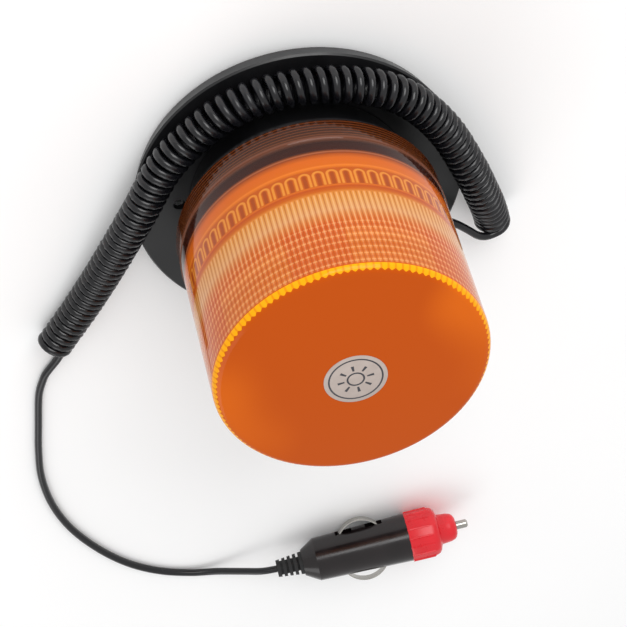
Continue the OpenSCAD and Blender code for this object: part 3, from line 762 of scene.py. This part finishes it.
label_low, label_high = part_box("lens_label")
label_r = (label_high[0] - label_low[0]) / 2
label_centre = Vector(((label_low[0] + label_high[0]) / 2, (label_low[1] + label_high[1]) / 2, 0))
label_place = Matrix.Translation(label_centre)
label_top = label_high[2] / MM
LABEL_EDGE = 0.1
label_outline = [
    (label_low[2] / MM, 0),
    (label_low[2] / MM, label_r / MM),
    (label_top - LABEL_EDGE / 2, label_r / MM),
    (label_top, label_r / MM - LABEL_EDGE),
    (label_top, 0),
]
label = turned("label_disc", label_outline, label_place)
label.data.materials.append(label_paper(label_centre, label_r))
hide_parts("lens_label")
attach(label, "lens")
print("label, mm across:", round(2 * label_r / MM, 1))

# %% [markdown]
# ## Ribs by Geometry Nodes
# The grip ring of the nose repeats one thin ridge. Sixteen modelled by hand would have to be redone for
# every change of size, so a small tree puts a ridge on each point of a circle, turns it to face
# outwards, makes the copies real and gives them their finish. Its sizes are inputs with plain names.


# %% Ring tree
def ring_tree():
    """Count copies of a block or a round rib, spaced evenly on a circle."""
    tree = bpy.data.node_groups.new("copies_round_an_axis", "GeometryNodeTree")
    tree.interface.new_socket("Geometry", in_out="INPUT", socket_type="NodeSocketGeometry")
    for label, kind in (
        ("Count", "NodeSocketInt"),
        ("Circle radius", "NodeSocketFloat"),
        ("Height", "NodeSocketFloat"),
        ("Start angle", "NodeSocketFloat"),
        ("Block size", "NodeSocketVector"),
        ("Sides", "NodeSocketInt"),
        ("Finish", "NodeSocketMaterial"),
    ):
        tree.interface.new_socket(label, in_out="INPUT", socket_type=kind)
    tree.interface.new_socket("Geometry", in_out="OUTPUT", socket_type="NodeSocketGeometry")
    given = add_node(tree, "NodeGroupInput").outputs
    circle = add_node(
        tree, "GeometryNodeMeshCircle", inputs={"Vertices": given["Count"], "Radius": given["Circle radius"]}
    )
    place = add_node(tree, "ShaderNodeCombineXYZ", inputs={"Z": given["Height"]})
    start = add_node(tree, "ShaderNodeCombineXYZ", inputs={"Z": given["Start angle"]})
    moved = add_node(
        tree,
        "GeometryNodeTransform",
        inputs={"Geometry": circle.outputs[0], "Translation": place.outputs[0], "Rotation": start.outputs[0]},
    )
    rib = add_node(
        tree, "GeometryNodeMeshCylinder", inputs={"Vertices": given["Sides"], "Radius": 0.5, "Depth": 1.0}
    )
    spot = add_node(tree, "GeometryNodeInputPosition")
    outwards = add_node(tree, "ShaderNodeVectorMath", {"operation": "MULTIPLY"}, {0: spot.outputs[0], 1: (1, 1, 0)})
    facing = add_node(tree, "FunctionNodeAlignRotationToVector", {"axis": "X"}, {"Vector": outwards.outputs[0]})
    copies = add_node(
        tree,
        "GeometryNodeInstanceOnPoints",
        inputs={
            "Points": moved.outputs[0],
            "Instance": rib.outputs[0],
            "Rotation": facing.outputs[0],
            "Scale": given["Block size"],
        },
    )
    real = add_node(tree, "GeometryNodeRealizeInstances", inputs={"Geometry": copies.outputs[0]})
    done = add_node(
        tree, "GeometryNodeSetMaterial", inputs={"Geometry": real.outputs[0], "Material": given["Finish"]}
    )
    result = add_node(tree, "NodeGroupOutput")
    tree.links.new(done.outputs[0], result.inputs[0])
    return tree


RING_TREE = ring_tree()


def ring_of_copies(name, place, **sizes):
    """Runs the ring tree on an empty mesh and keeps the result as a plain mesh."""
    seed = bpy.data.objects.new(name + "_seed", bpy.data.meshes.new(name + "_seed"))
    bpy.context.scene.collection.objects.link(seed)
    nodes = seed.modifiers.new("ring", "NODES")
    nodes.node_group = RING_TREE
    for item in RING_TREE.interface.items_tree:
        if item.in_out == "INPUT" and item.name in sizes:
            nodes[item.identifier] = sizes[item.name]
    evaluated = seed.evaluated_get(bpy.context.evaluated_depsgraph_get())
    mesh = bpy.data.meshes.new_from_object(evaluated)
    bpy.data.objects.remove(seed)
    mesh.transform(place)
    mesh.name = name
    made = bpy.data.objects.new(name, mesh)
    bpy.context.scene.collection.objects.link(made)
    print(name, len(mesh.polygons), "faces")
    return made


# %% [markdown]
# ## Plug nose
# The red nose cap is one moulding: a grip ring with sixteen flat panels between thin ridges, a rounded
# shoulder, and a smaller cup in front that the pin comes through. The cup and ring are turned round the
# plug's own axis, which is the axis of the nose's joint. The ridges come from the ring tree.

# %% Plug nose
plug_joint = next(j for j in frame["record"]["behaviour"]["joints"] if j["name"] == "nose_turn")
plug_axis = Vector(plug_joint["axis"]).normalized()
ring_foot = Vector(plug_joint["pos_m"])
across_plug = plug_axis.cross(Vector((0, 0, 1))).normalized()
plug_place = Matrix((across_plug, plug_axis.cross(across_plug), plug_axis)).transposed().to_4x4()
plug_place = Matrix.Translation(ring_foot) @ plug_place
RING_R = 10.9
RING_L = 13.5
NOSE_L = 7.7
PIN_HOLE_R = 1.9
PANELS = 16
nose_outline = [(-6.6, 4.7), (-6.6, 7.1), (-0.3, 7.1), (-0.3, 10.2), (0.1, RING_R - 0.45), (0.6, RING_R - 0.25)]
nose_outline += [(9.6, RING_R - 0.25), (11.0, RING_R - 0.5), (12.2, RING_R - 1.1), (13.0, RING_R - 2.1)]
nose_outline += [(RING_L, RING_R - 3.4), (RING_L + 0.15, 6.9), (RING_L + 0.6, 6.5), (RING_L + 4.5, 6.1)]
nose_outline += [(RING_L + 6.2, 5.6), (RING_L + 7.1, 4.8), (RING_L + NOSE_L, 3.6), (RING_L + NOSE_L, PIN_HOLE_R)]
nose_outline += [(RING_L + NOSE_L - 2, PIN_HOLE_R), (RING_L + NOSE_L - 2, 4.7)]


def panelled(k, along, radius, angle):
    """Flattens the ring's panels."""
    if radius < 9.5 or along > 12:
        return radius
    middle = (angle * PANELS / (2 * math.pi)) % 1 - 0.5
    return radius * math.cos(math.pi / PANELS) / math.cos(2 * math.pi / PANELS * middle)


nose = turned("nose_moulding", nose_outline, plug_place, around=PANELS * 8, radius_at=panelled, smooth_angle=40)
nose.data.materials.append(red_abs)
ridges = ring_of_copies(
    "nose_ridges",
    plug_place,
    **{
        "Count": PANELS,
        "Circle radius": (RING_R - 0.42) * MM,
        "Height": 5.2 * MM,
        "Start angle": 0.0,
        "Block size": (0.9 * MM, 1.0 * MM, 9.6 * MM),
        "Sides": 10,
        "Finish": red_abs,
    },
)
for piece in (nose, ridges):
    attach(piece, "nose")
    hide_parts("nose_cap")
print("plug axis:", [round(v, 3) for v in plug_axis])

# %% [markdown]
# ## Cord
# The cord is one continuous piece. It leaves the grommet, crosses to the near end of the curly stretch
# and enters its first turn from above, winds round the beacon, and runs along the floor to the plug.
# The curly stretch is a helix round a smooth centre line: closed at both ends, and drawn a little apart
# where it bends round the front. A smooth bridge leads from the tail into the first turn and another
# from the last turn into the lead, and the whole path stays at least half a cord above the floor.

# %% Cord route
CORD_D = 3.0
COIL_D = 13.5
TURN_R = (COIL_D - CORD_D) / 2
CLOSED_PITCH = 3.06
OPEN_PITCH = 4.1
MOST_OPEN_AT = 0.47
OPEN_REACH = 0.2

TAIL = [(-43.3, 25, 14), (-47.4, 27.9, 14.2), (-51.2, 31.4, 14.2), (-54.4, 35.6, 13.8), (-57.2, 39.8, 13.4)]
COIL = [(-65.5, 43, 6.8), (-65, 35, 8.2), (-63.4, 23.5, 11.8), (-60.2, 6, 14.4), (-55, -13, 14.4)]
COIL += [(-47.5, -28, 14.4), (-37, -39.5, 14.4), (-21, -48, 14.4), (-3, -51.8, 14.4), (13, -50.6, 14.4)]
COIL += [(27.5, -44.5, 14.4), (42, -34.5, 14.5), (56, -18, 14.7), (69, -1, 12.2), (80, 13.5, 9.2)]
COIL += [(91, 26.5, 7.2), (104.5, 40, 6.8)]
LEAD = [(114, 60, 1.5), (118.5, 68, 1.5), (123.5, 83, 1.5), (128.5, 99, 1.5)]
LEAD += [(132, 114, 1.5), (133, 131, 1.5), (130.5, 148.5, 1.5), (124, 166, 1.5), (115, 181, 1.5)]
LEAD += [(104, 192, 1.5), (92, 198.8, 1.8), (81, 201, 3.4), (70, 201, 7.4), (62, 201.1, 10.2), (55.4, 201.6, 10.9)]


def helix_round(centre_line, start_turn, end_turn):
    """Points of a helix round a centre line, with turns further apart where the line is mid-way."""
    length = path_length(centre_line)
    dense, travelled, phase = [], 0.0, start_turn
    marks = []
    for a, b in zip(centre_line, centre_line[1:]):
        share = travelled / length
        openness = math.exp(-(((share - MOST_OPEN_AT) / OPEN_REACH) ** 4))
        pitch = CLOSED_PITCH + (OPEN_PITCH - CLOSED_PITCH) * openness
        marks.append((phase, a, (b - a).normalized()))
        phase -= (b - a).length / pitch
        travelled += (b - a).length
    marks.append((phase, centre_line[-1], (centre_line[-1] - centre_line[-2]).normalized()))
    whole = round(phase - end_turn) + end_turn
    stretch = (whole - start_turn) / (phase - start_turn)
    for turn_at, spot, ahead in marks:
        angle = 2 * math.pi * (start_turn + (turn_at - start_turn) * stretch)
        side = ahead.cross(Vector((0, 0, 1))).normalized()
        up = side.cross(ahead)
        dense.append(spot + TURN_R * (math.cos(angle) * side + math.sin(angle) * up))
    return dense, abs(whole - start_turn)


def joined(first, second, steps=16, leave_by=1.6, arrive_by=0.8):
    """Two stretches with a smooth bridge between them, which leaves and arrives in their own directions."""
    start, end = first[-1], second[0]
    leave = (start - first[-2]).normalized() * (end - start).length * leave_by
    arrive = (second[1] - end).normalized() * (end - start).length * arrive_by
    bridge = []
    for k in range(1, steps):
        t = k / steps
        bridge.append(
            (2 * t**3 - 3 * t**2 + 1) * start
            + (t**3 - 2 * t**2 + t) * leave
            + (3 * t**2 - 2 * t**3) * end
            + (t**3 - t**2) * arrive
        )
    return first + bridge + second


START_TURN = 0.25
END_TURN = -0.25
COIL_STEPS = 90
STRAIGHT_STEPS = 6
helix, turns = helix_round(curve_points(COIL, COIL_STEPS), START_TURN, END_TURN)
tail = curve_points(TAIL, STRAIGHT_STEPS)
lead = curve_points(LEAD, STRAIGHT_STEPS)
cord_path = [p * MM for p in joined(joined(tail, helix), lead)]
for spot in cord_path:
    spot.z = max(spot.z, CORD_D / 2 * MM)
print("curly turns:", round(turns, 1), "cord length, mm:", round(path_length(cord_path) / MM))


# %% [markdown]
# ## Cord as a mesh
# The cord's jacket is a tube swept along that path. A frame is carried from point to point, and only
# leans as the path leans, so the tube doesn't twist in the turns. A curve with a bevel would do the
# same, but a mesh keeps its sides even where the turns are tight.


# %% Cord mesh
def tube(name, path, radius, sides):
    """A round tube along a path, closed at both ends."""
    points, faces = [], []
    side = None
    for i, spot in enumerate(path):
        ahead = (path[min(i + 1, len(path) - 1)] - path[max(i - 1, 0)]).normalized()
        if side is None:
            side = ahead.orthogonal().normalized()
        side = (side - ahead * side.dot(ahead)).normalized()
        other = ahead.cross(side)
        for k in range(sides):
            angle = 2 * math.pi * k / sides
            points.append(spot + radius * (math.cos(angle) * side + math.sin(angle) * other))
    for i in range(len(path) - 1):
        for k in range(sides):
            m = (k + 1) % sides
            faces.append((i * sides + k, i * sides + m, (i + 1) * sides + m, (i + 1) * sides + k))
    faces.append(tuple(range(sides - 1, -1, -1)))
    faces.append(tuple(range((len(path) - 1) * sides, len(path) * sides)))
    return add_object(name, points, faces, 60)


CORD_SIDES = 12
cord = tube("curly_cord", cord_path, CORD_D / 2 * MM, CORD_SIDES)
cord.data.materials.append(cord_pvc)
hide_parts("cord_tail", "cord_coil", "cord_lead")
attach(cord, "base")
print("cord:", len(cord.data.polygons), "faces")

# %% [markdown]
# ## Floor and light
# A pale floor and a bright, even sky stand for a white studio sweep. Two large soft lights give the
# gloss on the black pieces its shape.

# %% Floor and light
floor_material, floor_tree = new_material("floor")
floor_colour, floor_polish, _ = mottled(floor_tree, "#fcfcfc", "#ffffff", 200, (0.65, 0.75))
floor_shader = add_node(
    floor_tree, "ShaderNodeBsdfPrincipled", inputs={"Base Color": floor_colour, "Roughness": floor_polish}
)
add_node(floor_tree, "ShaderNodeOutputMaterial", inputs={"Surface": floor_shader.outputs[0]})
FLOOR_SIDE = 6.0
corners = [(x * FLOOR_SIDE, y * FLOOR_SIDE, 0) for x, y in ((-1, -1), (1, -1), (1, 1), (-1, 1))]
floor = add_object("floor", corners, [(0, 1, 2, 3)])
floor.data.materials.append(floor_material)

world = bpy.data.worlds.new("sky")
bpy.context.scene.world = world
world.use_nodes = True
sky = world.node_tree.nodes["Background"]
sky.inputs["Color"].default_value = (1, 1, 1, 1)
SKY_STRENGTH = 0.72
sky.inputs["Strength"].default_value = SKY_STRENGTH


def area_light(name, spot, aim, size, watts):
    """A square soft light at spot, facing aim."""
    data = bpy.data.lights.new(name, "AREA")
    data.size = size
    data.energy = watts
    made = bpy.data.objects.new(name, data)
    made.location = spot
    made.rotation_euler = (Vector(aim) - Vector(spot)).to_track_quat("-Z", "Y").to_euler()
    bpy.context.scene.collection.objects.link(made)


# spot, aim and size in metres, then watts
area_light("key", (-0.35, -0.9, 0.6), (0, 0, 0.05), 0.7, 7)
area_light("fill", (0.7, 0.6, 0.9), (0, 0.05, 0.05), 0.8, 3)
print("lights:", len(bpy.data.lights), "sky:", SKY_STRENGTH)
